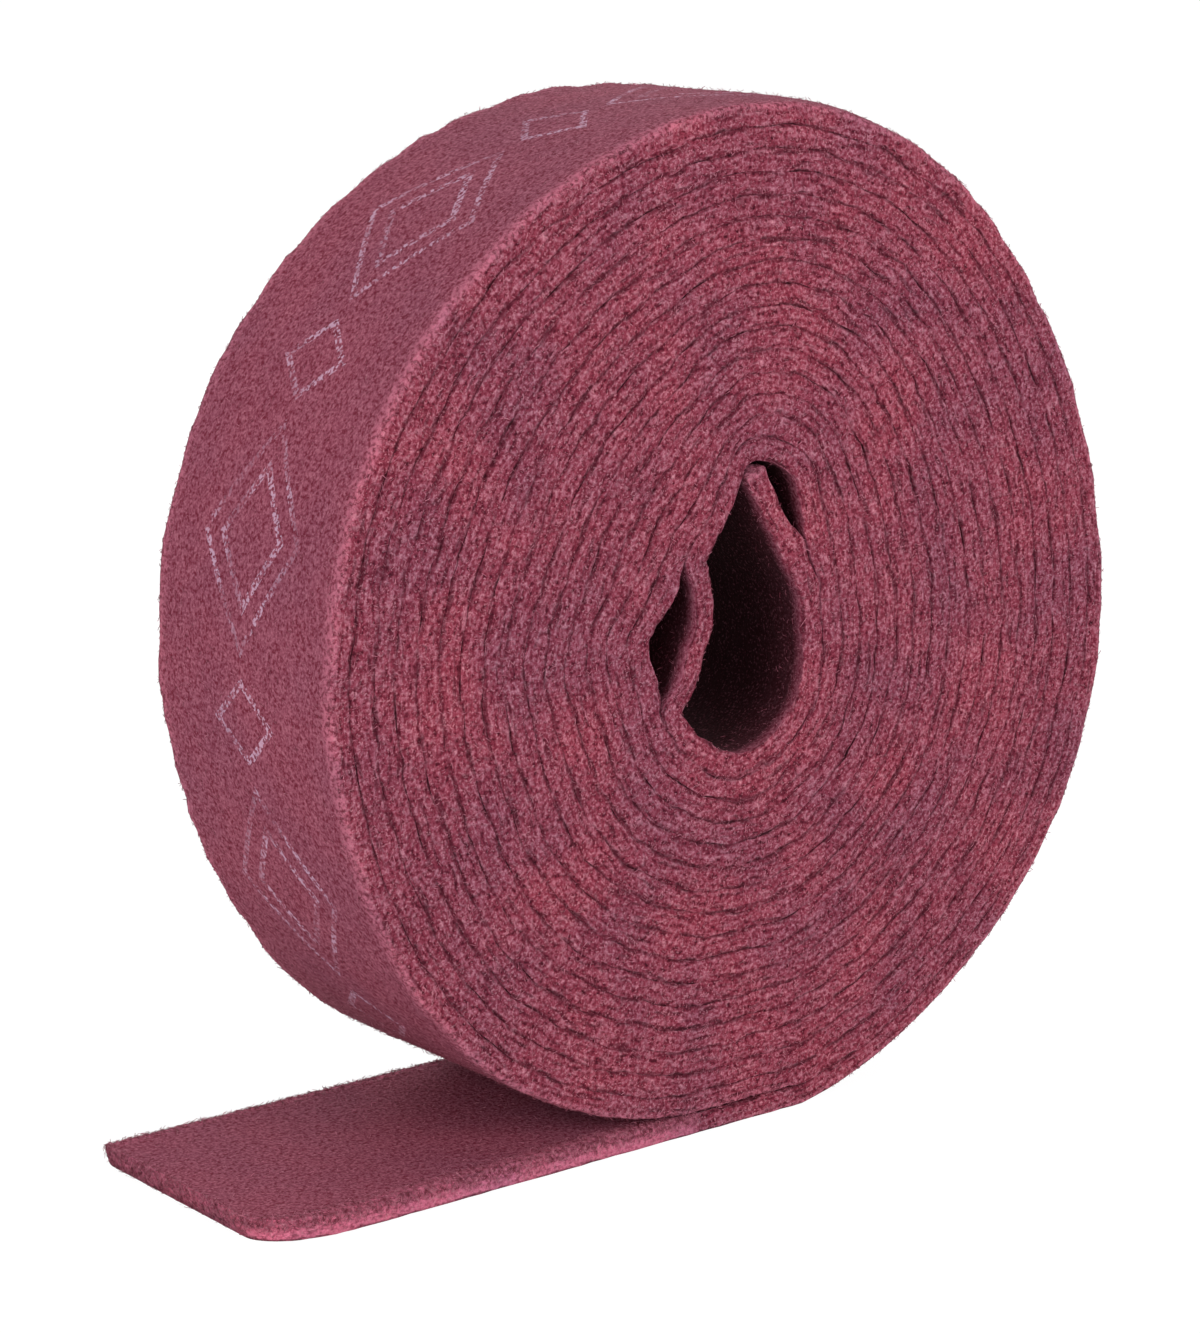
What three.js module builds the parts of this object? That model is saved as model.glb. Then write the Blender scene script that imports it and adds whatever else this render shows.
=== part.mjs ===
// Non-woven abrasive roll: one long web of bonded fibre, wound on itself with no core.
// The loose end lies flat in front of the roll, and the innermost turn has buckled inwards,
// so the eye is a collapsed drop instead of a round hole.
//
// The turns press on each other all the way, so they are one solid here. Each turn shows on
// both ends of the roll as a ridge, and the eye and the slit beside it are real openings.
//
// Millimetres. +X runs along the loose end towards the roll, +Y across the web, +Z up.
// The roll rests on z = 0, and the origin is under the middle of its bounding box.

import * as THREE from 'three';

// The web
const webWidth = 100;
const webThickness = 7.1; // as the winding presses it
const looseThickness = 8; // where nothing presses on it
const leastGap = 0.6; // between two turns that stand apart
const edgeRound = 1.4; // the soft long edges of the web

// The winding
const turns = 15.45; // from the end of the foot to the top of the eye
const eyeHalfWidth = 40; // the turn that ends there, to the middle of the web
const eyeHalfHeight = 56;
const eyeShift = -2; // the eye's centre from the roll's, along X
const eyeLift = 3; // the eye's centre from the roll's, along Z
const footLength = 58; // the flat that the roll's own weight presses into it

// The loose end
const tailLength = 192; // from the roll's centre to the cut
const tailPressed = 60; // from the roll's centre to where the web is at its loose thickness
const cornerLength = 34; // the worn near corner, along the web
const cornerWidth = 16; // and across it

// How finely the curves are cut. A station of one turn lies beside that of the next.
const stationsPerTurn = 44;
const footStations = 2; // of the loose end, under the winding
const endStations = 10;
const tailStations = 6;
const cornerStations = 6;

// The innermost turn, in stations from the end of the foot: it stands clear of the turn
// outside it between the first two, and from the last one to its cut.
const foldFrom = 686;
const foldTo = 697;
const endFrom = 714;

const webColour = 0x84404f;

// How the soft roll is out of round: lobes, their height, and the angle of one of them in
// degrees anticlockwise from +X. They fade out towards the floor between the two last angles.
const lobes = [[2, 1.4, 90], [3, 1.7, -26], [4, 1.6, -22.5]];
const lobesFade = [12, 48];

// The far side of the winding bulges upwards: how much at the rim, at which angle, and how
// many degrees to either side of it the bulge fades out.
const bulge = { height: 6.5, angle: 56, spread: 42 };

// The form that the turns come to round the eye, seen from the near side, anticlockwise from
// its lowest point. Across in units of eyeHalfWidth and up in units of eyeHalfHeight, from
// the eye's centre.
const eyeTurnShape = [
  [0.0, -0.95], [0.5, -0.86], [0.86, -0.61], [0.99, -0.29],
  [0.98, 0.0], [0.92, 0.3], [0.82, 0.64], [0.6, 0.96],
  [0.05, 1.03], [-0.25, 0.71], [-0.53, 0.41], [-0.67, 0.2],
  [-0.95, 0.0], [-0.86, -0.26], [-0.77, -0.55], [-0.47, -0.8],
];

// The fold on the left of the eye, downwards, and the loose inner end on its right, up to the
// cut. Same units.
const foldShape = [[-0.42, 0.33], [-0.37, 0.16], [-0.4, 0.0], [-0.49, -0.18], [-0.61, -0.38]];
const endShape = [[0.76, 0.17], [0.6, 0.37], [0.37, 0.63], [0.16, 0.9]];

const { degToRad, radToDeg, lerp, smoothstep, clamp, euclideanModulo } = THREE.MathUtils;
const inPlane = (across, up) => new THREE.Vector3(across, 0, up);
const eyePoint = ([across, up]) =>
  inPlane(eyeShift + across * eyeHalfWidth, eyeLift + up * eyeHalfHeight);

// The eye's own form, where an angle of -90 degrees is the lowest point.
const eyeTurn = new THREE.CatmullRomCurve3(eyeTurnShape.map(eyePoint), true, 'catmullrom');
const innerOutline = (angle) => eyeTurn.getPoint(euclideanModulo(angle / 360 + 0.25, 1));

// The roll grows from the widest reach of the eye by one web for each turn.
const eyeReach = Math.max(...eyeTurn.getPoints(72).map((point) => point.length()));
const windingRadius = eyeReach + turns * webThickness;
const floorDrop = Math.sqrt(windingRadius ** 2 - (footLength / 2) ** 2);

// The outermost turn: nearly round, and pressed flat on the floor.
function outerOutline(angle) {
  const fromFloor = Math.abs(euclideanModulo(angle + 270, 360) - 180);
  const lobe = lobes.reduce(
    (sum, [count, height, at]) => sum + height * Math.cos(degToRad(count * (angle - at))), 0,
  );
  const round = windingRadius + lobe * smoothstep(fromFloor, ...lobesFade);
  const direction = inPlane(Math.cos(degToRad(angle)), Math.sin(degToRad(angle)));
  const toFloor = direction.z < 0 ? floorDrop / -direction.z : Infinity;
  return direction.multiplyScalar(Math.min(round, toFloor));
}

// The web leaves the floor at the end of the foot, winds inwards at an even pitch along
// every direction, and so changes by steps from the outer form to the eye's.
const liftAngle = -90 + radToDeg(Math.asin(footLength / 2 / windingRadius));
function windingPoint(station) {
  const turn = station / stationsPerTurn;
  const angle = liftAngle + turn * 360;
  return outerOutline(angle).lerp(innerOutline(angle), Math.max(turn, 0) / turns);
}

// The points of a stretch that stands clear, evenly spaced, after its first one.
function clearStretch(through, count) {
  return new THREE.CatmullRomCurve3(through).getSpacedPoints(count).slice(1);
}

// The web's middle line, in the plane across the roll, from one cut to the other.
const cornerEnd = -tailLength + cornerLength;
const footStart = windingPoint(-footStations).x;
const line = [];
for (let i = 0; i <= cornerStations; i += 1) {
  const along = 1 - Math.cos((i / cornerStations) * Math.PI / 2);
  line.push(inPlane(-tailLength + along * cornerLength, -floorDrop));
}
for (let i = 1; i < tailStations; i += 1) {
  line.push(inPlane(lerp(cornerEnd, footStart, i / tailStations), -floorDrop));
}
const liftsAt = line.length + footStations;
for (let station = -footStations; station <= foldFrom; station += 1) {
  line.push(windingPoint(station));
}
line.push(...clearStretch(
  [windingPoint(foldFrom), ...foldShape.map(eyePoint), windingPoint(foldTo)],
  foldTo - foldFrom,
));
for (let station = foldTo + 1; station <= endFrom; station += 1) {
  line.push(windingPoint(station));
}
line.push(...clearStretch([windingPoint(endFrom), ...endShape.map(eyePoint)], endStations));

// Whether a station presses on the one beside it in the next turn inwards.
function joined(i) {
  const station = i - liftsAt;
  const next = station + stationsPerTurn;
  const inFold = next > foldFrom && next < foldTo;
  return station >= -footStations && next <= endFrom && !inFold;
}

// Across the middle line, towards the roll's centre.
const inwards = line.map((_, i) => {
  const from = line[Math.max(i - 1, 0)];
  const to = line[Math.min(i + 1, line.length - 1)];
  return inPlane(from.z - to.z, to.x - from.x).normalize();
});

// How far the web reaches from its middle line where nothing presses on it: half its own
// thickness, or less where another turn stands close.
function reach(i, side) {
  const half = i < liftsAt + stationsPerTurn ? webThickness / 2 : looseThickness / 2;
  const piece = new THREE.Line3();
  const nearest = new THREE.Vector3();
  let room = 2 * half + leastGap;
  for (let j = 0; j < line.length - 1; j += 1) {
    if (Math.abs(j - i) > stationsPerTurn / 4) {
      piece.set(line[j], line[j + 1]).closestPointToPoint(line[i], true, nearest);
      nearest.sub(line[i]);
      if (nearest.dot(inwards[i]) * side > 0) room = Math.min(room, nearest.length());
    }
  }
  return (room - leastGap) / 2;
}

// The loose end swells upwards to its loose thickness where the roll lifts off it.
function swelling(i) {
  const lying = i < liftsAt ? smoothstep(-line[i].x, footLength / 2, tailPressed) : 0;
  return lying * (looseThickness - webThickness);
}

// The near edge runs straight, apart from the worn corner at the cut.
function nearEdge(i) {
  const left = clamp((cornerEnd - line[i].x) / cornerLength, 0, 1);
  const worn = i < liftsAt ? cornerWidth * (1 - Math.sqrt(1 - left ** 2)) : 0;
  return -webWidth / 2 + worn;
}

// A point of the winding moved outwards by the bulge, which grows from the roll's middle to
// its rim and from the near edge to the far one.
function bulged(point) {
  const angle = radToDeg(Math.atan2(point.z, point.x));
  const fade = Math.cos(clamp((angle - bulge.angle) / bulge.spread, -1, 1) * Math.PI / 2) ** 2;
  const across = inPlane(point.x, point.z);
  const share = (across.length() / windingRadius) * (point.y / webWidth + 0.5);
  return point.addScaledVector(across, (bulge.height / windingRadius) * fade * share);
}

const corners = [];
function addCorner(at, along) {
  const corner = bulged(at.clone().setY(along));
  corners.push(corner.setZ(corner.z + floorDrop + webThickness / 2));
  return corners.length - 1;
}

// The eight corners of the web's section at each station, starting on the near side. Two
// stations that press on each other share the corners between their ridges.
const rings = [];
line.forEach((middle, i) => {
  const near = nearEdge(i);
  const far = webWidth / 2;
  const outside = i - stationsPerTurn;
  const meets = { inner: joined(i), outer: outside >= 0 && joined(outside) };
  const towards = (other) => line[other].clone().lerp(middle, 0.5);
  const inner = meets.inner ? towards(i + stationsPerTurn)
    : middle.clone().addScaledVector(inwards[i], reach(i, 1) + swelling(i));
  const outer = meets.outer ? towards(outside)
    : middle.clone().addScaledVector(inwards[i], -reach(i, -1));
  const across = inner.clone().sub(outer).setLength(edgeRound);
  const innerCrest = inner.clone().sub(across);
  const outerCrest = outer.clone().add(across);
  const shared = meets.outer ? rings[outside] : [];
  rings.push([
    addCorner(innerCrest, near),
    addCorner(inner, near + edgeRound),
    addCorner(inner, far - edgeRound),
    addCorner(innerCrest, far),
    addCorner(outerCrest, far),
    shared[2] ?? addCorner(outer, far - edgeRound),
    shared[1] ?? addCorner(outer, near + edgeRound),
    addCorner(outerCrest, near),
  ]);
});

// Skin between the rings, apart from the walls where two turns press on each other, and a
// face at each cut.
const faces = [];
const innerWall = 1;
const outerWall = 5;
for (let i = 0; i < rings.length - 1; i += 1) {
  const pressed = (j) => j >= 0 && joined(j) && joined(j + 1);
  rings[i].forEach((a, k) => {
    const hidden = (k === innerWall && pressed(i))
      || (k === outerWall && pressed(i - stationsPerTurn));
    if (!hidden) {
      const b = rings[i][(k + 1) % 8];
      const [nextA, nextB] = [rings[i + 1][k], rings[i + 1][(k + 1) % 8]];
      faces.push(a, nextB, b, a, nextA, nextB);
    }
  });
}
const [first, last] = [rings[0], rings[rings.length - 1]];
for (let k = 1; k < 7; k += 1) {
  faces.push(first[0], first[k], first[k + 1], last[0], last[k + 1], last[k]);
}

const geometry = new THREE.BufferGeometry().setFromPoints(corners);
geometry.setIndex(faces);
geometry.computeVertexNormals();
geometry.computeBoundingBox();
const middle = geometry.boundingBox.getCenter(new THREE.Vector3());

const web = new THREE.Mesh(
  geometry,
  new THREE.MeshStandardMaterial({ color: webColour, roughness: 0.95, metalness: 0 }),
);
web.name = 'wound_web';
web.position.set(-middle.x, 0, 0);

const roll = new THREE.Group();
roll.add(web);

export default roll;
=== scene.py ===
"""Looks for the non-woven abrasive roll: a maroon web of bonded fibres, wound on itself with no
core, with its loose end lying flat and a buckled innermost turn.

The winding follows the same rules and the same named values as the solid in the frame, with
finer steps, rounded cut edges and loose fibres.
"""

from math import asin, cos, pi, radians, sin

import bpy
import numpy as np
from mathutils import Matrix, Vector, noise


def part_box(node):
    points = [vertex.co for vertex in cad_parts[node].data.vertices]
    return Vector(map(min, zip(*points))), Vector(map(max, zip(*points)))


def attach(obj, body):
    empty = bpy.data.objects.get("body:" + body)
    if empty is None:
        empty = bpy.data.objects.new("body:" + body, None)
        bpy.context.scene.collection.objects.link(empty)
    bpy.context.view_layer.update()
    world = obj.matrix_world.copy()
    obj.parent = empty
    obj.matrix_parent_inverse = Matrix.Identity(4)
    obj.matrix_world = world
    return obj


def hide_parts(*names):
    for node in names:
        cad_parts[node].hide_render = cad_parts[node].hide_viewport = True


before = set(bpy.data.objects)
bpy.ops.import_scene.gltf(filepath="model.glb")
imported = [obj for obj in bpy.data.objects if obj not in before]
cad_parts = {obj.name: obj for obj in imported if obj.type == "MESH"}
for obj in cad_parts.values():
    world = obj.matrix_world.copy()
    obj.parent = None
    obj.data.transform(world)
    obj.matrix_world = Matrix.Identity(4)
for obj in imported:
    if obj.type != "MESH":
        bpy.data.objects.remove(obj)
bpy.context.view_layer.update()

MM = 0.001

# The web, in millimetres
WEB_WIDTH = 100.0
WEB_THICKNESS = 7.1
LOOSE_THICKNESS = 8.0
MOST_THICKNESS = 9.4  # where the winding leaves it room
EDGE_CREST = 1.0  # how far the middle of a cut edge stands out between two turns
OPEN_CREST = 1.8  # and where no turn lies against its corners

# The winding
TURNS = 15.45
EYE_HALF_WIDTH = 40.0
EYE_HALF_HEIGHT = 56.0
EYE_SHIFT = -2.0
EYE_LIFT = 3.0
FOOT_LENGTH = 58.0
LOBES = ((2, 1.4, 90), (3, 1.7, -26), (4, 1.6, -22.5))
LOBES_FADE = (12.0, 48.0)
BULGE_HEIGHT = 6.5
BULGE_ANGLE = 56.0
BULGE_SPREAD = 42.0
BULGE_REACH = 0.3  # the share of the width over which the bulge comes up

# The loose end
TAIL_LENGTH = 192.0
TAIL_PRESSED = 60.0
CORNER_LENGTH = 34.0
CORNER_WIDTH = 16.0
CUT_SLANT = 1.0  # how far the cut leans out at its top and in at its foot
CUT_SLANT_LENGTH = 12.0  # the stretch of web over which that fades

# How uneven the soft web is: by how much, and over how long a stretch
EDGE_WAVE, EDGE_WAVE_LENGTH = 0.7, 40.0  # the ends of the roll, all turns together
TURN_WAVE, TURN_WAVE_LENGTH = 0.2, 11.0  # each turn by itself
ROUGHNESS, ROUGHNESS_LENGTH = 0.25, 3.0  # the skin of the cut edges
SLOW_CREEP, SLOW_CREEP_LENGTH = 0.75, 13.0  # the turns, sideways
QUICK_CREEP, QUICK_CREEP_LENGTH = 0.4, 5.0
CREEP_FROM, CREEP_TO = 38.0, 48.0  # from the middle of the width, where the turns creep
GROOVE_LENGTH = 14.0  # how far a groove between two turns runs before it fades
GROOVE_MEAN, GROOVE_PLAY = 0.3, 1.2  # how deep it is, as shares of EDGE_CREST

# How finely the visible web is cut
STATIONS_PER_TURN = 176
FOLD_STATIONS = 44
END_STATIONS = 40
TAIL_STATIONS = 40
CORNER_STATIONS = 16
CLEAR_FADE = 15  # stations over which the web goes over to its loose thickness
NEIGHBOUR_AFTER = 60.0  # the least length of web between two stretches that lie side by side

# The innermost whole turn, anticlockwise from its lowest point, in half widths and half heights
EYE_TURN = (
    (0.0, -0.95), (0.5, -0.86), (0.86, -0.61), (0.99, -0.29),
    (0.98, 0.0), (0.92, 0.3), (0.82, 0.64), (0.6, 0.96),
    (0.05, 1.03), (-0.25, 0.71), (-0.53, 0.41), (-0.67, 0.2),
    (-0.95, 0.0), (-0.86, -0.26), (-0.77, -0.55), (-0.47, -0.8),
)

# The fold that stands clear on the left of the eye, downwards, and the inner end on its right,
# up to the cut, with the turns at which each starts and the fold ends
SOLID_STATIONS = 44  # in a turn of the solid
FOLD = ((-0.42, 0.33), (-0.37, 0.16), (-0.4, 0.0), (-0.49, -0.18), (-0.61, -0.38))
FOLD_FROM = 686 / SOLID_STATIONS
FOLD_TO = 697 / SOLID_STATIONS
INNER_END = ((0.76, 0.17), (0.6, 0.37), (0.37, 0.63), (0.16, 0.9))
END_FROM = 714 / SOLID_STATIONS

# Where the inner end starts it lies snugly on the turn outside it, and both webs swell: by how
# much, and in turns from that start, where it comes up, where it starts to go and where it ends
SNUG_SWELLING = 2.5
SNUG_FROM, SNUG_FADE, SNUG_TO = -0.05, 0.08, 0.17


def smoothstep(value, low, high):
    share = np.clip((value - low) / (high - low), 0, 1)
    return share * share * (3 - 2 * share)


def hermite(a, b, slope_a, slope_b, share):
    """The cubic from a to b with these slopes at its ends."""
    s2, s3 = share ** 2, share ** 3
    return (
        (2 * s3 - 3 * s2 + 1) * a + (3 * s2 - 2 * s3) * b
        + (s3 - 2 * s2 + share) * slope_a + (s3 - s2) * slope_b
    )


def eye_point(point):
    return np.array((
        EYE_SHIFT + point[0] * EYE_HALF_WIDTH, EYE_LIFT + point[1] * EYE_HALF_HEIGHT,
    ))


EYE_POINTS = np.array([eye_point(point) for point in EYE_TURN])


def inner_outline(angle):
    """The innermost whole turn at an angle in degrees anticlockwise from +X."""
    at = (angle / 360 + 0.25) % 1 * len(EYE_POINTS)
    index = int(at)
    p0, p1, p2, p3 = (EYE_POINTS[(index + k) % len(EYE_POINTS)] for k in (-1, 0, 1, 2))
    return hermite(p1, p2, 0.5 * (p2 - p0), 0.5 * (p3 - p1), at - index)


EYE_SAMPLES = 72
EYE_REACH = max(
    np.hypot(*inner_outline(step / EYE_SAMPLES * 360 - 90)) for step in range(EYE_SAMPLES + 1)
)
WINDING_RADIUS = EYE_REACH + TURNS * WEB_THICKNESS
FLOOR_DROP = (WINDING_RADIUS ** 2 - (FOOT_LENGTH / 2) ** 2) ** 0.5
LIFT_ANGLE = -90 + np.degrees(asin(FOOT_LENGTH / 2 / WINDING_RADIUS))
AXIS_HEIGHT = FLOOR_DROP + WEB_THICKNESS / 2


def outer_outline(angle):
    """The outermost turn: nearly round, and pressed flat on the floor."""
    from_floor = abs((angle + 270) % 360 - 180)
    lobe = sum(height * cos(radians(count * (angle - at))) for count, height, at in LOBES)
    around = WINDING_RADIUS + lobe * smoothstep(from_floor, *LOBES_FADE)
    direction = np.array((cos(radians(angle)), sin(radians(angle))))
    to_floor = FLOOR_DROP / -direction[1] if direction[1] < 0 else np.inf
    return direction * min(around, to_floor)


def winding_point(turn):
    """The web winds inwards at an even pitch along every direction."""
    angle = LIFT_ANGLE + turn * 360
    share = turn / TURNS
    return outer_outline(angle) * (1 - share) + inner_outline(angle) * share


def even_points(points, count):
    """count points, evenly spaced on the rounded line through points, after its first one."""
    points = np.array([2 * points[0] - points[1], *points, 2 * points[-1] - points[-2]])
    dense = []
    fine = 60  # steps from one of the points to the next
    for p0, p1, p2, p3 in zip(points, points[1:], points[2:], points[3:]):
        d0, d1, d2 = (np.hypot(*(b - a)) ** 0.5 for a, b in ((p0, p1), (p1, p2), (p2, p3)))
        slope1 = ((p1 - p0) / d0 - (p2 - p0) / (d0 + d1) + (p2 - p1) / d1) * d1
        slope2 = ((p2 - p1) / d1 - (p3 - p1) / (d1 + d2) + (p3 - p2) / d2) * d1
        dense += [hermite(p1, p2, slope1, slope2, step / fine) for step in range(fine)]
    dense = np.array(dense + [points[-2]])
    gone = np.r_[0, np.cumsum(np.hypot(*np.diff(dense, axis=0).T))]
    wanted = np.linspace(0, gone[-1], count + 1)[1:]
    return np.c_[np.interp(wanted, gone, dense[:, 0]), np.interp(wanted, gone, dense[:, 1])]


def middle_line():
    """The web's middle line across the roll, and the first station that is wound."""
    corner_end = CORNER_LENGTH - TAIL_LENGTH
    line = [
        (corner_end - CORNER_LENGTH * cos(step / CORNER_STATIONS * pi / 2), -FLOOR_DROP)
        for step in range(CORNER_STATIONS + 1)
    ]
    foot_end = FOOT_LENGTH / 2
    line += [
        (corner_end + (foot_end - corner_end) * step / TAIL_STATIONS, -FLOOR_DROP)
        for step in range(1, TAIL_STATIONS)
    ]
    first_wound = len(line)
    fold_from, fold_to, end_from = (
        round(turn * STATIONS_PER_TURN) for turn in (FOLD_FROM, FOLD_TO, END_FROM)
    )
    fold = [winding_point(FOLD_FROM), *map(eye_point, FOLD), winding_point(FOLD_TO)]
    end = [winding_point(END_FROM), *map(eye_point, INNER_END)]
    line += [winding_point(step / STATIONS_PER_TURN) for step in range(fold_from + 1)]
    line += list(even_points(fold, FOLD_STATIONS))
    line += [winding_point(step / STATIONS_PER_TURN) for step in range(fold_to + 1, end_from + 1)]
    line += list(even_points(end, END_STATIONS))
    return np.array(line), first_wound


def rooms(line, inwards, lengths):
    """How far the next turn is from each station, on the inner and on the outer side."""
    inner = np.full(len(line), np.inf)
    outer = np.full(len(line), np.inf)
    starts, ends = line[:-1], line[1:]
    along = ends - starts
    for index, point in enumerate(line):
        share = np.clip(((point - starts) * along).sum(1) / (along ** 2).sum(1), 0, 1)
        offset = starts + along * share[:, None] - point
        distance = np.hypot(*offset.T)
        distance[np.abs(lengths[:-1] - lengths[index]) < NEIGHBOUR_AFTER] = np.inf
        inside = offset @ inwards[index] > 0
        inner[index] = np.where(inside, distance, np.inf).min()
        outer[index] = np.where(inside, np.inf, distance).min()
    return inner, outer


def wander(*place):
    """Smooth noise from about -1 to 1."""
    return 1.6 * noise.noise(Vector(place))


def creep(place, along):
    """How far the soft turns have crept sideways at a place on either end of the roll."""
    x, z = place
    end = 40 if along > 0 else 0
    return [
        SLOW_CREEP * wander(x / SLOW_CREEP_LENGTH, z / SLOW_CREEP_LENGTH, end + axis)
        + QUICK_CREEP * wander(x / QUICK_CREEP_LENGTH, z / QUICK_CREEP_LENGTH, end + 9 + axis)
        for axis in (0, 20)
    ]


def crept(places, along, wound):
    """Places across the web, moved by the creep near both ends of the roll."""
    share = np.clip((abs(along) - CREEP_FROM) / (CREEP_TO - CREEP_FROM), 0, 1) * wound
    return places + share[:, None] * [creep(place, y) for place, y in zip(places, along)]


def bulged(places, along):
    """Places across the web, moved outwards by the bulge, which is nought at the near edge."""
    angle = np.degrees(np.arctan2(places[:, 1], places[:, 0]))
    fade = np.cos(np.clip((angle - BULGE_ANGLE) / BULGE_SPREAD, -1, 1) * pi / 2) ** 2
    reach = np.hypot(*places.T) / WINDING_RADIUS
    across = np.sin(np.clip((along / WEB_WIDTH + 0.5) / BULGE_REACH, 0, 1) * pi / 2)
    return places * (1 + BULGE_HEIGHT / WINDING_RADIUS * fade * reach * across)[:, None]


# Corners over a cut edge, from the outer side of the web to the inner one, as shares of half
# its thickness, and across the web between its two cut edges, as places along Y
CREST_STEPS = np.array((-1.0, -0.9, -0.66, -0.34, 0.0, 0.34, 0.66, 0.9, 1.0))
CREST_ROUNDNESS = 3.5  # 2 is a circle's arc, and more is squarer
WIDTH_STEPS = np.array((-0.44, -0.32, -0.16, 0.05, 0.27, 0.44)) * WEB_WIDTH


def web_section(point, inward, inner, outer, near, far, crests):
    """The corners of the web at a station, as their reach inwards and their place along Y: over
    the near cut edge, along the inner side, over the far cut edge and back along the outer side.
    """
    middle, half = (inner - outer) / 2, (inner + outer) / 2
    bulk = (1 - abs(CREST_STEPS) ** CREST_ROUNDNESS) ** (1 / CREST_ROUNDNESS)
    depths = crests * (1 - bulk)

    def cut_edge(shares, depths, edge, into, seed):
        made = []
        for share, depth in zip(shares, depths):
            x, z = point + (middle + share * half) * inward
            rough = ROUGHNESS * wander(x / ROUGHNESS_LENGTH, z / ROUGHNESS_LENGTH, seed)
            made.append((middle + share * half, edge + into * depth + rough))
        return made

    def side(at, steps):
        clear_of_corner = near + OPEN_CREST + 1
        return [(at, max(y, clear_of_corner + (y + WEB_WIDTH / 2) * 0.1)) for y in steps]

    return np.array([
        *cut_edge(CREST_STEPS, depths, near, 1, 50),
        *side(middle + half, WIDTH_STEPS),
        *cut_edge(-CREST_STEPS, depths[::-1], far, -1, 70),
        *side(middle - half, WIDTH_STEPS[::-1]),
    ])


def web_mesh():
    """The web's corners at each station in millimetres, how far round the web each one is, the
    length of web up to each station, and whether it is pressed between two turns there.
    """
    line, first_wound = middle_line()
    lengths = np.r_[0, np.cumsum(np.hypot(*np.diff(line, axis=0).T))]
    tangents = np.gradient(line, axis=0)
    inwards = np.c_[-tangents[:, 1], tangents[:, 0]]
    inwards /= np.hypot(*inwards.T)[:, None]
    inner_room, outer_room = rooms(line, inwards, lengths)
    turn = (np.arange(len(line)) - first_wound) / STATIONS_PER_TURN
    clear = ((turn > FOLD_FROM) & (turn < FOLD_TO)) | (turn > END_FROM)
    clear = np.convolve(clear, np.ones(CLEAR_FADE) / CLEAR_FADE, mode="same")
    most = (MOST_THICKNESS + clear * (LOOSE_THICKNESS - MOST_THICKNESS)) / 2
    most[:first_wound] = WEB_THICKNESS / 2
    snug = SNUG_SWELLING * smoothstep(turn, END_FROM + SNUG_FROM, END_FROM)
    snug *= 1 - smoothstep(turn, END_FROM + SNUG_FADE, END_FROM + SNUG_TO)
    inner = np.minimum(inner_room / 2, most + np.interp(turn + 1, turn, snug, right=0))
    most[turn < 1] = WEB_THICKNESS / 2
    outer = np.minimum(outer_room / 2, most + snug)
    lying = smoothstep(-line[:, 0], FOOT_LENGTH / 2, TAIL_PRESSED)
    lying[first_wound:] = 0
    inner += lying * (LOOSE_THICKNESS - WEB_THICKNESS)
    left = np.clip((CORNER_LENGTH - TAIL_LENGTH - line[:, 0]) / CORNER_LENGTH, 0, 1)
    worn = CORNER_WIDTH * (1 - np.sqrt(1 - left ** 2))
    worn[first_wound:] = 0

    points, around, pressed = [], [], []
    for index, (across, up) in enumerate(line):
        gone = lengths[index]
        wound = min(1, max(0, turn[index] * 4))  # it gets uneven over a quarter turn
        near_wave, far_wave = (
            EDGE_WAVE * wander(across / EDGE_WAVE_LENGTH, up / EDGE_WAVE_LENGTH, seed)
            + TURN_WAVE * wander(gone / TURN_WAVE_LENGTH, seed, 0)
            for seed in (3, 23)
        )
        near = -WEB_WIDTH / 2 + worn[index] + wound * near_wave
        far = WEB_WIDTH / 2 + wound * far_wave
        depth = GROOVE_MEAN + GROOVE_PLAY * wander(gone / GROOVE_LENGTH, 33, 0)
        crest = EDGE_CREST * max(0, depth)
        pressed.append(turn[index] > 1 and not clear[index])
        outer_crest = OPEN_CREST if turn[index] < 1 else crest
        inner_crest = OPEN_CREST if turn[index] < 0 or clear[index] else crest
        crests = np.where(CREST_STEPS < 0, outer_crest, inner_crest)
        ring = web_section(
            line[index], inwards[index], inner[index], outer[index], near, far, crests,
        )
        place = line[index] + ring[:, :1] * inwards[index]
        place = bulged(crept(place, ring[:, 1], wound), ring[:, 1])
        place[:, 1] = np.maximum(place[:, 1], -AXIS_HEIGHT)
        slant = CUT_SLANT * max(0, 1 - gone / CUT_SLANT_LENGTH)
        place[:, 0] -= slant * ring[:, 0] / (LOOSE_THICKNESS / 2)
        points.append(np.c_[place[:, 0], ring[:, 1], place[:, 1] + AXIS_HEIGHT])
        steps = np.hypot(*np.diff(np.r_[ring, ring[:1]], axis=0).T)
        around.append(np.r_[0, np.cumsum(steps)])
    return np.array(points), np.array(around), lengths, np.array(pressed)


points, around, lengths, pressed = web_mesh()
corners = points.shape[1]
roll_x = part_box("wound_web")[0][0] / MM + TAIL_LENGTH
points[:, :, 0] += roll_x


def link(obj):
    bpy.context.scene.collection.objects.link(obj)
    return obj


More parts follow.
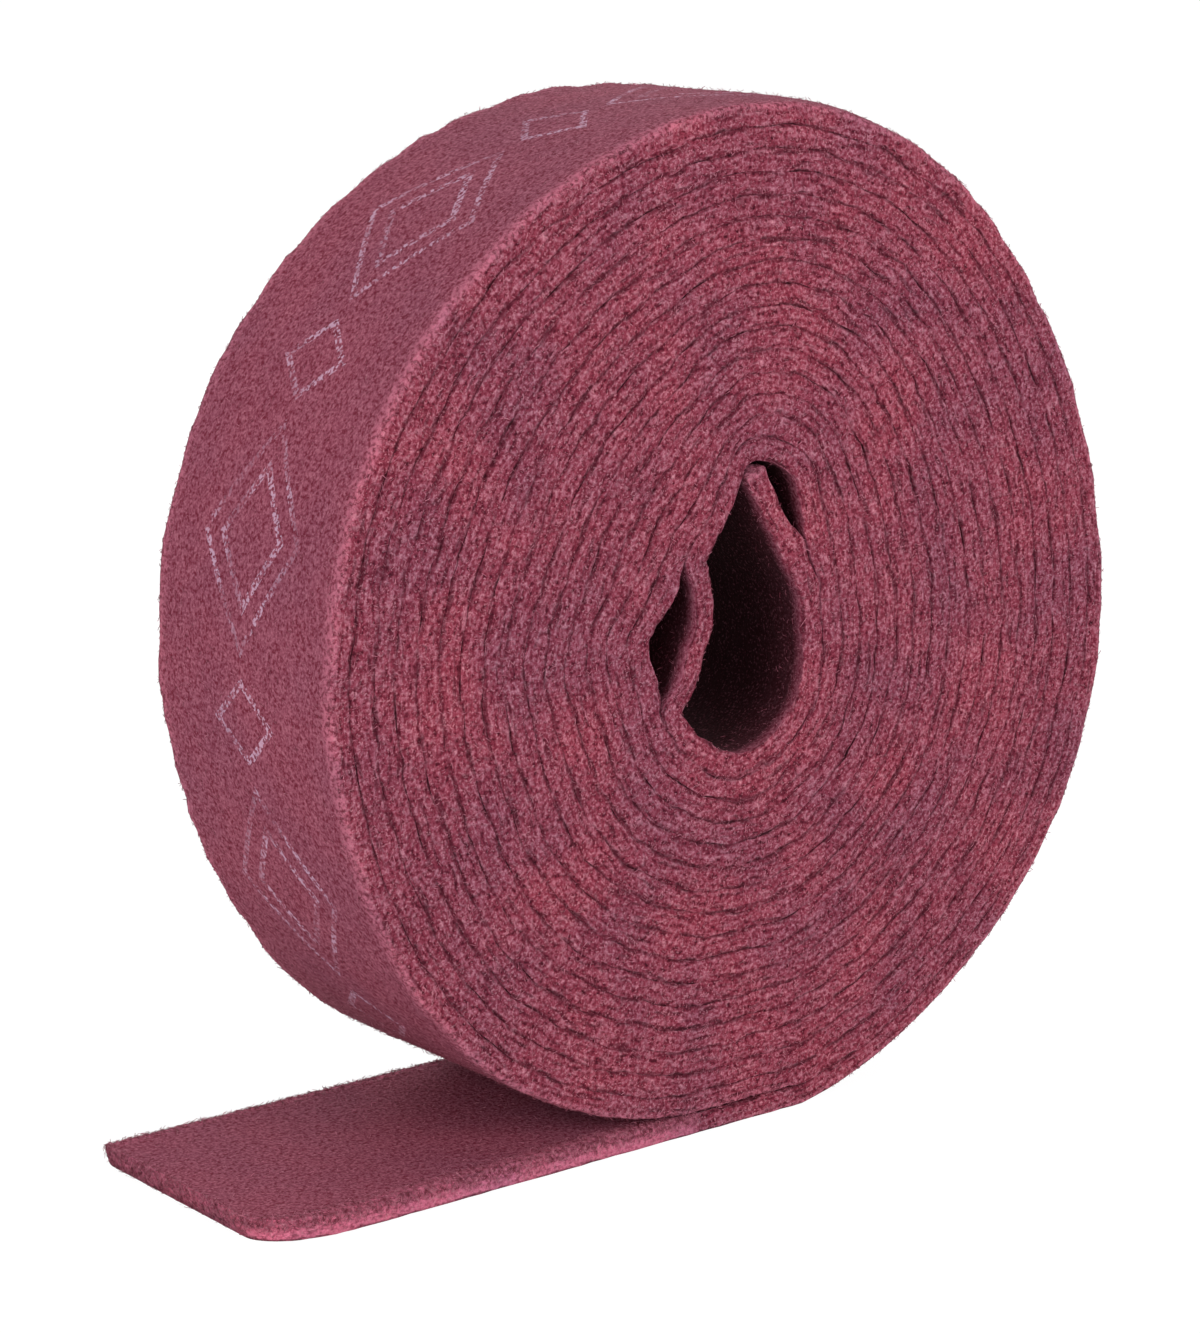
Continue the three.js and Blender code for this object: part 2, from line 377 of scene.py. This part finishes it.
def make_web():
    """The web's closed skin, with its unrolled places as a UV map: a quad between each pair of
    stations and corners, and a face at each cut.
    """
    mesh = bpy.data.meshes.new("abrasive_web")
    count = len(points)
    stations, ring = np.meshgrid(np.arange(count - 1), np.arange(corners), indexing="ij")
    a = stations * corners + ring
    b = stations * corners + (ring + 1) % corners
    quads = np.stack((a, a + corners, b + corners, b), axis=-1).reshape(-1, 4)
    last = (count - 1) * corners
    faces = [tuple(int(k) for k in quad) for quad in quads]
    faces.append(tuple(range(corners)))
    faces.append(tuple(range(last + corners - 1, last - 1, -1)))
    mesh.from_pydata((points.reshape(-1, 3) * MM).tolist(), [], faces)
    unrolled = mesh.uv_layers.new(name="unrolled")
    uv = np.zeros((len(mesh.loops), 2), dtype=np.float32)
    side = around[:, :-1]
    quad_uv = np.stack((
        np.stack((lengths[stations], side[stations, ring]), -1),
        np.stack((lengths[stations + 1], side[stations + 1, ring]), -1),
        np.stack((lengths[stations + 1], around[stations + 1, ring + 1]), -1),
        np.stack((lengths[stations], around[stations, ring + 1]), -1),
    ), axis=2).reshape(-1, 2)
    uv[:len(quad_uv)] = quad_uv * MM
    unrolled.data.foreach_set("uv", uv.ravel())
    mesh.polygons.foreach_set("use_smooth", [True] * len(mesh.polygons))
    mesh.validate()
    ends = np.empty(len(mesh.edges) * 2, dtype=np.int32)
    mesh.edges.foreach_get("vertices", ends)
    starts, ends = np.sort(ends.reshape(-1, 2), axis=1).T
    far_side = corners // 2
    over_edge = len(CREST_STEPS) - 1
    # Where the web is pressed, the rims of its cut edges are sharp, so that the grooves show
    rims = np.isin(starts % corners, (0, over_edge, far_side, far_side + over_edge))
    sharp = (ends - starts == corners) & rims & pressed[starts // corners]
    mesh.attributes.new("sharp_edge", "BOOLEAN", "EDGE").data.foreach_set("value", sharp)
    return link(bpy.data.objects.new("abrasive_web", mesh))


web = make_web()

# Where the fields on the skin start and end, in millimetres
EYE_STRETCH = 430.0  # the length of web that faces the eye
EYE_MOUTH = 43.0  # from the middle of the width: no loose fibres in the eye below this
DARK_FROM, DARK_TO = 49.5, 43.5  # likewise: where the painted shade on the eye's wall starts, and where it is full
FLOOR_CLEARANCE = 4.0  # no loose fibres lower than this
UNDER_ROLL = 20.0  # how much of the loose end lies hidden under the roll

# And where a corner over a cut edge starts to go down into a groove, and over how long, as
# shares of half the web's thickness. The painted shade in the grooves follows it.
SUNK_FROM, SUNK_OVER = 0.72, 0.2


def mark_web():
    """Fields on the skin for its finish and its fibres: how far down between two turns a corner
    lies, and whether it is on a cut edge, on the rim, in the eye or on the loose end.
    """
    crest = CREST_STEPS
    sides = len(WIDTH_STEPS)
    count = len(points)

    def around_web(near, inner_side, far, outer_side):
        return np.concatenate((
            near * np.ones(len(crest)), inner_side * np.ones(sides),
            far * np.ones(len(crest)), outer_side * np.ones(sides),
        ))

    every_station = np.ones((count, 1))
    sunk = np.clip((abs(crest) - SUNK_FROM) / SUNK_OVER, 0, 1)
    valley = around_web(sunk, 1, sunk, 1)
    on_edge = around_web(abs(crest) < 0.95, 0, abs(crest) < 0.95, 0)
    near_edge = around_web(1, 0, 0, 0)
    far_edge = around_web(0, 0, 1, 0)
    outer_side = around_web(crest < -0.8, 0, crest[::-1] < -0.8, 1)
    open_corner = around_web(crest < -0.5, 0, crest[::-1] < -0.5, 0)
    beside_edge = on_edge + np.roll(on_edge, 1) + np.roll(on_edge, -1) > 0
    clear_of_floor = points[:, :, 2] > FLOOR_CLEARANCE
    from_middle = abs(points[:, :, 1])

    outermost = lengths < lengths[0] + TAIL_LENGTH + 2 * pi * WINDING_RADIUS
    tail = (lengths < TAIL_LENGTH - UNDER_ROLL)[:, None]
    in_eye = (lengths > lengths[-1] - EYE_STRETCH)[:, None]
    rim = outermost[:, None] * outer_side * clear_of_floor
    rim = rim + tail * (1 - outer_side) * (1 - on_edge)
    eye = in_eye * (1 - on_edge)
    shut = 1 - np.clip(rim + eye, 0, 1)
    # Worn corners and cut ends: pinker partly from wear and partly as painted light where they face
    # the lamps
    worn = np.clip(outermost[:, None] * open_corner + tail * beside_edge, 0, 1)
    worn[:2] = worn[-2:] = 1
    round_the_rim = ((lengths > TAIL_LENGTH + FOOT_LENGTH) & outermost)[:, None]
    cut_edge = np.maximum(every_station * on_edge, shut)
    cut_edge[:2] = cut_edge[-2:] = 1
    fields = {
        # Painted shade in the grooves between the turns and on the sides hidden between them
        "valley": valley * shut,
        "cut_edge": cut_edge,
        "near_edge": clear_of_floor * near_edge * on_edge,
        "far_edge": clear_of_floor * far_edge * on_edge,
        "rim": np.clip(rim, 0, 1),
        "eye": eye,
        # Painted shade on the eye's wall, darkest in the middle of the width
        "hollow": eye * np.clip((DARK_FROM - from_middle) / (DARK_FROM - DARK_TO), 0, 1),
        "eye_mouth": eye * (from_middle > EYE_MOUTH),
        "worn": worn,
        "worn_up": worn * clear_of_floor,
        # Painted light on the loose end's cut and borders
        "tail_cut": worn * tail,
        "tail_border": worn * clear_of_floor * tail,
        "printed": round_the_rim * around_web(0, 0, 0, 1),
    }
    for name, values in fields.items():
        field = web.data.attributes.new(name, "FLOAT", "POINT")
        field.data.foreach_set("value", values.astype(np.float32).ravel())


mark_web()


def add(tree, kind, settings=None, **inputs):
    """A new node with these settings. Its inputs are values or other nodes' outputs, and each
    is named as Blender names it, or i and its number.
    """
    made = tree.nodes.new(kind)
    for name, value in (settings or {}).items():
        setattr(made, name, value)
    for name, value in inputs.items():
        by_number = name[0] == "i" and name[1:].isdigit()
        socket = made.inputs[int(name[1:]) if by_number else name.replace("_", " ")]
        if isinstance(value, bpy.types.NodeSocket):
            tree.links.new(value, socket)
        else:
            socket.default_value = value
    return made


def ramp(tree, factor, stops):
    """A colour ramp with (place, linear colour) stops."""
    made = add(tree, "ShaderNodeValToRGB", i0=factor)
    elements = made.color_ramp.elements
    while len(elements) < len(stops):
        elements.new(0.5)
    for element, (place, colour) in zip(elements, stops):
        element.position = place
        element.color = (*colour, 1)
    return made.outputs["Color"]


def mix(tree, factor, a, b, blend="MIX"):
    """Colour a with this much of colour b in it."""
    made = tree.nodes.new("ShaderNodeMix")
    made.data_type = "RGBA"
    made.blend_type = blend
    for socket, value in ((made.inputs[0], factor), (made.inputs[6], a), (made.inputs[7], b)):
        if isinstance(value, bpy.types.NodeSocket):
            tree.links.new(value, socket)
        elif isinstance(value, tuple):
            socket.default_value = (*value, 1)
        else:
            socket.default_value = value
    return made.outputs[2]


def calc(tree, operation, a, b=0.0, c=0.0):
    """One sum on numbers or other nodes' outputs."""
    return add(tree, "ShaderNodeMath", {"operation": operation}, i0=a, i1=b, i2=c).outputs[0]


# The web's colours, from the painted shade of the eye to its palest fibres, and its print
# BLACK is painted shade deep in the eye
BLACK = (0.014, 0.001, 0.002)
# DEEP is the dark between fibres, and also painted shade in the grooves between the turns
DEEP = (0.064, 0.006, 0.015)
DARK = (0.150, 0.016, 0.034)
MAROON = (0.240, 0.040, 0.068)
DUSKY = (0.250, 0.060, 0.097)
ROSE = (0.345, 0.104, 0.150)
PALE = (0.53, 0.214, 0.268)
# BLUSH is partly wear and partly painted light on the corners and the cut ends
BLUSH = (0.50, 0.147, 0.215)
# painted light: the loose end's cut, lighter and pinker as if lit from the left
PAINTED_LIGHT_PINK = (0.74, 0.185, 0.31)
LILAC = (0.58, 0.37, 0.50)

PRINT_CELL = 0.118  # metres of web from one large lozenge to the next
LARGE_LOZENGE = (0.036, 0.026)  # half its length and half its width
SMALL_LOZENGE = (0.013, 0.015)


def print_marks(tree, unrolled, here):
    """A worn, dotted row of lozenges along the middle of the rim, in cells of PRINT_CELL."""
    along = add(tree, "ShaderNodeSeparateXYZ", Vector=unrolled).outputs["X"]
    across = calc(tree, "ABSOLUTE", add(tree, "ShaderNodeSeparateXYZ", Vector=here).outputs["Y"])
    off = calc(tree, "PINGPONG", along, PRINT_CELL / 2)
    back = calc(tree, "SUBTRACT", PRINT_CELL / 2, off)

    def lozenge(distance, size):
        """A value that is 1 on the outline of a lozenge and less inside it."""
        length, width = size
        return calc(tree, "MULTIPLY_ADD", distance, 1 / length, calc(
            tree, "MULTIPLY", across, 1 / width))

    large, small = lozenge(off, LARGE_LOZENGE), lozenge(back, SMALL_LOZENGE)
    outlines = ((large, 1.0, 0.055), (large, 0.62, 0.065), (small, 1.0, 0.13))
    marks = 0.0
    for shape, reach, half_line in outlines:
        marks = calc(tree, "MAXIMUM", marks, calc(tree, "COMPARE", shape, reach, half_line))
    dots = add(tree, "ShaderNodeTexNoise", Vector=here, Scale=780, Detail=1)
    wear = add(tree, "ShaderNodeTexNoise", Vector=here, Scale=45, Detail=2)
    dotted = ramp(tree, dots.outputs["Fac"], ((0.47, (0, 0, 0)), (0.57, (0.8, 0.8, 0.8))))
    kept = ramp(tree, wear.outputs["Fac"], ((0.38, (0.25, 0.25, 0.25)), (0.55, (1, 1, 1))))
    return calc(tree, "MULTIPLY", marks, calc(tree, "MULTIPLY", dotted, kept))


def web_material():
    """The web's finish: its skin and its cut edges, from the fields on it."""
    material = bpy.data.materials.new("maroon_fibre_web")
    material.use_nodes = True
    tree = material.node_tree
    shader = tree.nodes["Principled BSDF"]
    shader.inputs["Roughness"].default_value = 0.95
    shader.inputs["Specular IOR Level"].default_value = 0.12
    here = add(tree, "ShaderNodeTexCoord").outputs["Object"]
    cut, valley, hollow, worn, tail_cut, printed = (
        add(tree, "ShaderNodeAttribute", {"attribute_name": name}).outputs["Fac"]
        for name in ("cut_edge", "valley", "hollow", "worn", "tail_cut", "printed")
    )
    unrolled = add(tree, "ShaderNodeUVMap", {"uv_map": "unrolled"}).outputs["UV"]

    def cloud(scale, detail=2.0, roughness=0.55, place=here):
        return add(
            tree, "ShaderNodeTexNoise", Vector=place, Scale=scale, Detail=detail,
            Roughness=roughness,
        ).outputs["Fac"]

    def stretched(along, across):
        return add(
            tree, "ShaderNodeMapping", Vector=unrolled, Scale=(along, across, 1),
        ).outputs["Vector"]

    # Noise of several sizes. The stretched ones run along the unrolled web.
    clumps = cloud(640, 2.0, 0.6)
    grain = cloud(1150, 1.0)
    streaks = cloud(1, 2.0, 0.6, stretched(120, 640))
    strands = cloud(1, 1.0, 0.5, stretched(70, 420))
    breaks = cloud(1, 2.0, 0.6, stretched(60, 120))
    patches = cloud(26)
    lumps = cloud(270, 1.0)

    # The cut edges, from the dark between their fibres to the palest ones, with dark slits
    coarse = calc(tree, "MULTIPLY_ADD", clumps, 0.62, calc(tree, "MULTIPLY", streaks, 0.38))
    edge_colour = ramp(tree, coarse, (
        (0.34, DEEP), (0.42, DARK), (0.50, MAROON), (0.59, ROSE), (0.69, PALE)))
    slits = ramp(tree, strands, ((0.30, (0.6, 0.6, 0.6)), (0.41, (0, 0, 0))))
    edge_colour = mix(tree, slits, edge_colour, DEEP)

    # The skin of the rim and of the loose end, the worn corners, partly wear and partly painted
    # light, and painted light on the loose end's cut
    rim_colour = ramp(tree, calc(tree, "MULTIPLY_ADD", clumps, 0.6, calc(
        tree, "MULTIPLY", grain, 0.4)), ((0.38, DARK), (0.50, DUSKY), (0.62, ROSE)))
    colour = mix(tree, cut, rim_colour, edge_colour)
    # Worn corners and cut ends in BLUSH: partly wear, partly painted light
    colour = mix(tree, calc(tree, "MULTIPLY", worn, ramp(tree, clumps, (
        (0.40, (0.15, 0.15, 0.15)), (0.58, (0.9, 0.9, 0.9))))), colour, BLUSH)
    # Painted light: the loose end's cut and borders lighter and pinker, as if lit from the left
    colour = mix(tree, calc(tree, "MULTIPLY", tail_cut, calc(
        tree, "MULTIPLY", coarse, 0.8)), colour, PAINTED_LIGHT_PINK)

    # Pale glints, the worn print, and patches of a slightly different tone
    glints = ramp(tree, grain, ((0.57, (0, 0, 0)), (0.70, (1, 1, 1))))
    colour = mix(tree, calc(tree, "MULTIPLY", glints, calc(
        tree, "MULTIPLY_ADD", cut, 0.45, 0.2)), colour, PALE)
    colour = mix(tree, calc(tree, "MULTIPLY", printed, print_marks(tree, unrolled, here)),
                 colour, LILAC)
    tone = ramp(tree, patches, ((0.35, (0.88, 0.95, 0.98)), (0.65, (1.11, 1.01, 0.985))))
    colour = mix(tree, calc(tree, "MULTIPLY_ADD", cut, 0.6, 0.4), colour, tone, "MULTIPLY")

    # Painted shade: broken dark lines in the grooves between the turns, and the dark deep in the
    # eye
    broken = ramp(tree, breaks, ((0.44, (0.7, 0.7, 0.7)), (0.55, (0, 0, 0))))
    colour = mix(tree, calc(tree, "MULTIPLY", valley, broken), colour, DEEP)
    # Painted shade deep in the eye, a little broken by the pale grains
    shaded = calc(tree, "MULTIPLY_ADD", glints, -0.25, 0.95)
    colour = mix(tree, calc(tree, "MULTIPLY", hollow, shaded), colour, BLACK)
    tree.links.new(colour, shader.inputs["Base Color"])

    # The relief: fibres, grit and lumps stand out, and slits and grooves are sunk in
    height = calc(tree, "MULTIPLY_ADD", calc(tree, "SUBTRACT", coarse, 0.5), calc(
        tree, "MULTIPLY_ADD", cut, 1.3, 0.9), calc(tree, "MULTIPLY", grain, 0.35))
    height = calc(tree, "MULTIPLY_ADD", calc(
        tree, "MULTIPLY", calc(tree, "SUBTRACT", lumps, 0.5), cut), 4.0, height)
    height = calc(tree, "MULTIPLY_ADD", calc(tree, "MULTIPLY", slits, cut), -0.5, height)
    height = calc(tree, "MULTIPLY_ADD", calc(
        tree, "MULTIPLY", valley, broken), -0.8, height)
    bump = add(tree, "ShaderNodeBump", Height=height, Strength=1.0, Distance=0.001)
    tree.links.new(bump.outputs["Normal"], shader.inputs["Normal"])
    return material


def fibre_material():
    material = bpy.data.materials.new("loose_maroon_fibre")
    material.use_nodes = True
    tree = material.node_tree
    shader = tree.nodes["Principled BSDF"]
    shader.inputs["Roughness"].default_value = 0.6
    shader.inputs["Specular IOR Level"].default_value = 0.3
    here = add(tree, "ShaderNodeTexCoord").outputs["Object"]
    shade = add(tree, "ShaderNodeTexNoise", Vector=here, Scale=700, Detail=1)
    colour = ramp(tree, shade.outputs["Fac"], (
        (0.32, DARK), (0.42, MAROON), (0.54, ROSE), (0.64, BLUSH), (0.76, PALE)))
    tree.links.new(colour, shader.inputs["Base Color"])
    return material


web_finish = web_material()
fibre_finish = fibre_material()
web.data.materials.append(web_finish)


FIBRE_ROLL, FIBRE_LEAN = 0.35, 0.8  # at most, in radians, about its length and out of the skin
FIBRE_SIZES = (0.45, 1.5)  # the least and the most of its group's size


def fibre_tree():
    """Scatters short bowed fibres over a mesh, as densely as the named field says."""
    tree = bpy.data.node_groups.new("scattered_fibres", "GeometryNodeTree")
    sockets = tree.interface
    sockets.new_socket("Geometry", in_out="INPUT", socket_type="NodeSocketGeometry")
    sockets.new_socket("Where", in_out="INPUT", socket_type="NodeSocketString")
    for name in ("Per Square Metre", "Length", "Bow", "Thickness"):
        sockets.new_socket(name, in_out="INPUT", socket_type="NodeSocketFloat")
    sockets.new_socket("Seed", in_out="INPUT", socket_type="NodeSocketInt")
    sockets.new_socket("Geometry", in_out="OUTPUT", socket_type="NodeSocketGeometry")
    given = tree.nodes.new("NodeGroupInput").outputs
    where = add(
        tree, "GeometryNodeInputNamedAttribute", {"data_type": "FLOAT"}, Name=given["Where"],
    )
    density = add(
        tree, "ShaderNodeMath", {"operation": "MULTIPLY"},
        i0=where.outputs["Attribute"], i1=given["Per Square Metre"],
    )
    spread = add(
        tree, "GeometryNodeDistributePointsOnFaces", {"distribute_method": "RANDOM"},
        Mesh=given["Geometry"], Density=density.outputs[0], Seed=given["Seed"],
    )
    half = add(tree, "ShaderNodeMath", {"operation": "MULTIPLY"}, i0=given["Length"], i1=0.5)
    sunk = add(tree, "ShaderNodeMath", {"operation": "MULTIPLY"}, i0=given["Bow"], i1=-0.5)
    back = add(tree, "ShaderNodeMath", {"operation": "MULTIPLY"}, i0=half.outputs[0], i1=-1.0)
    first = add(tree, "ShaderNodeCombineXYZ", X=back.outputs[0], Z=sunk.outputs[0])
    crown = add(tree, "ShaderNodeCombineXYZ", Z=given["Bow"])
    last = add(tree, "ShaderNodeCombineXYZ", X=half.outputs[0], Z=sunk.outputs[0])
    arc = add(
        tree, "GeometryNodeCurveQuadraticBezier", Resolution=2,
        Start=first.outputs[0], Middle=crown.outputs[0], End=last.outputs[0],
    )
    section = add(tree, "GeometryNodeCurvePrimitiveCircle", Resolution=3, Radius=given["Thickness"])
    strand = add(
        tree, "GeometryNodeCurveToMesh", Curve=arc.outputs[0], Profile_Curve=section.outputs[0],
    )
    lean = add(
        tree, "FunctionNodeRandomValue", {"data_type": "FLOAT_VECTOR"},
        i0=(-FIBRE_ROLL, -FIBRE_LEAN, 0.0), i1=(FIBRE_ROLL, FIBRE_LEAN, 2 * pi),
    )
    least, most = FIBRE_SIZES
    size = add(tree, "FunctionNodeRandomValue", {"data_type": "FLOAT"}, i2=least, i3=most)
    tree.links.new(given["Seed"], lean.inputs["Seed"])
    tree.links.new(given["Seed"], size.inputs["Seed"])
    placed = add(
        tree, "GeometryNodeInstanceOnPoints", Points=spread.outputs["Points"],
        Instance=strand.outputs[0], Rotation=spread.outputs["Rotation"], Scale=size.outputs[1],
    )
    leaned = add(
        tree, "GeometryNodeRotateInstances", Instances=placed.outputs[0],
        Rotation=lean.outputs[0], Local_Space=True,
    )
    real = add(tree, "GeometryNodeRealizeInstances", Geometry=leaned.outputs[0])
    done = add(
        tree, "GeometryNodeSetMaterial", Geometry=real.outputs[0], Material=fibre_finish,
    )
    out = tree.nodes.new("NodeGroupOutput")
    tree.links.new(done.outputs[0], out.inputs[0])
    return tree


scattered = fibre_tree()


def fibres(name, where, density, length, bow, thickness, seed):
    """Loose fibres on the part of the web that the field picks out, as a piece of their own."""
    holder = link(bpy.data.objects.new("holder", web.data.copy()))
    modifier = holder.modifiers.new("fibres", "NODES")
    modifier.node_group = scattered
    values = {
        "Where": where, "Per Square Metre": float(density), "Length": length * MM,
        "Bow": bow * MM, "Thickness": thickness * MM, "Seed": seed,
    }
    for socket in scattered.interface.items_tree:
        if socket.in_out == "INPUT" and socket.name in values:
            modifier[socket.identifier] = values[socket.name]
    shown = holder.evaluated_get(bpy.context.evaluated_depsgraph_get())
    mesh = bpy.data.meshes.new_from_object(shown)
    mesh.name = name
    bpy.data.objects.remove(holder)
    mesh.polygons.foreach_set("use_smooth", [True] * len(mesh.polygons))
    places = np.empty(len(mesh.vertices) * 3, dtype=np.float32)
    mesh.vertices.foreach_get("co", places)
    places[2::3] = np.maximum(places[2::3], 0)  # the floor bends up what would reach below it
    mesh.vertices.foreach_set("co", places)
    return link(bpy.data.objects.new(name, mesh))


# Name, field, fibres to the square metre, length, bow and thickness in millimetres, seed
FIBRES = (
    ("near_edge_fibres", "near_edge", 120000, 2.6, 0.35, 0.09, 3),
    ("far_edge_fibres", "far_edge", 80000, 2.6, 0.35, 0.09, 5),
    ("rim_fibres", "rim", 70000, 2.6, 0.25, 0.07, 7),
    ("eye_fibres", "eye_mouth", 110000, 2.2, 0.4, 0.08, 11),
    ("corner_fuzz", "worn_up", 500000, 1.9, 0.5, 0.08, 13),
    ("tail_fuzz", "tail_border", 2600000, 3.0, 0.8, 0.07, 17),
)
loose = [fibres(*row) for row in FIBRES]

for piece in (web, *loose):
    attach(piece, "root")
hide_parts("wound_web")


def seen_directly(tree):
    """1 for what the camera sees, straight or in a gloss, and 0 for what lights the roll."""
    rays = tree.nodes.new("ShaderNodeLightPath")
    return calc(tree, "MAXIMUM", rays.outputs["Is Camera Ray"], calc(
        tree, "MAXIMUM", rays.outputs["Is Glossy Ray"], rays.outputs["Is Transmission Ray"]))


FLOOR_REACH = 30.0
FLOOR_GLOW = 1.09
GLOW_SHARE = 0.88  # the rest takes the roll's shadow


def make_floor():
    """A pale floor that looks white and still takes the roll's shadow."""
    mesh = bpy.data.meshes.new("floor")
    signs = ((-1, -1), (1, -1), (1, 1), (-1, 1))
    mesh.from_pydata(
        [(x * FLOOR_REACH, y * FLOOR_REACH, 0) for x, y in signs], [], [(0, 1, 2, 3)],
    )
    material = bpy.data.materials.new("pale_floor")
    material.use_nodes = True
    tree = material.node_tree
    plain = tree.nodes["Principled BSDF"]
    plain.inputs["Base Color"].default_value = (0.82, 0.82, 0.82, 1)
    plain.inputs["Roughness"].default_value = 0.9
    plain.inputs["Specular IOR Level"].default_value = 0.1
    seen = seen_directly(tree)
    glow = add(tree, "ShaderNodeEmission", Color=(1, 1, 1, 1), Strength=FLOOR_GLOW)
    faint = add(
        tree, "ShaderNodeMixShader", i0=calc(tree, "MULTIPLY", seen, GLOW_SHARE),
        i1=plain.outputs[0], i2=glow.outputs[0],
    )
    tree.links.new(faint.outputs[0], tree.nodes["Material Output"].inputs["Surface"])
    mesh.materials.append(material)
    return link(bpy.data.objects.new("floor", mesh))


make_floor()


# The studio: how bright its walls are, and each lamp's name, place, size in metres and watts
WORLD_LEVEL = 0.48
ROLL_MIDDLE = Vector((0, 0, 0.16))
LAMPS = (
    ("front_softbox", (0.3, -2.1, 0.9), 1.4, 27),
    ("left_softbox", (-1.9, -0.6, 0.8), 1.2, 17),
    ("top_softbox", (0.0, -0.2, 2.2), 1.4, 5.0),
    ("back_softbox", (0.8, 2.0, 1.0), 1.3, 15),
)


def light_scene():
    """White walls that light the roll less than they look, and four soft lamps on the roll."""
    world = bpy.data.worlds.new("studio")
    bpy.context.scene.world = world
    world.use_nodes = True
    tree = world.node_tree
    background = tree.nodes["Background"]
    background.inputs["Color"].default_value = (1, 1, 1, 1)
    seen = seen_directly(tree)
    level = calc(tree, "MULTIPLY_ADD", seen, 1.0 - WORLD_LEVEL, WORLD_LEVEL)
    tree.links.new(level, background.inputs["Strength"])
    for name, place, size, watts in LAMPS:
        lamp = bpy.data.lights.new(name, "AREA")
        lamp.shape = "DISK"
        lamp.size = size
        lamp.energy = watts
        held = link(bpy.data.objects.new(name, lamp))
        held.location = place
        aim = ROLL_MIDDLE - held.location
        held.rotation_euler = aim.to_track_quat("-Z", "Y").to_euler()


light_scene()

# The camera, at the photograph's viewing angle
AZIMUTH = radians(-38.65)
ELEVATION = radians(12.75)
DISTANCE = 1.232
AIM = Vector(((roll_x - 21.7) * MM, 0, 0.1554))
FOCAL_PIXELS = 3600
LONG_SIDE_PIXELS = 1333
SENSOR = 36.0

camera = bpy.data.cameras.new("camera")
camera.sensor_width = SENSOR
camera.lens = SENSOR * FOCAL_PIXELS / LONG_SIDE_PIXELS
camera.clip_end = 100
viewer = link(bpy.data.objects.new("camera", camera))
back = Vector((
    sin(AZIMUTH) * cos(ELEVATION), -cos(AZIMUTH) * cos(ELEVATION), sin(ELEVATION),
))
viewer.location = AIM + back * DISTANCE
viewer.rotation_euler = back.to_track_quat("Z", "Y").to_euler()
bpy.context.scene.camera = viewer
bpy.context.scene.view_settings.view_transform = "Standard"
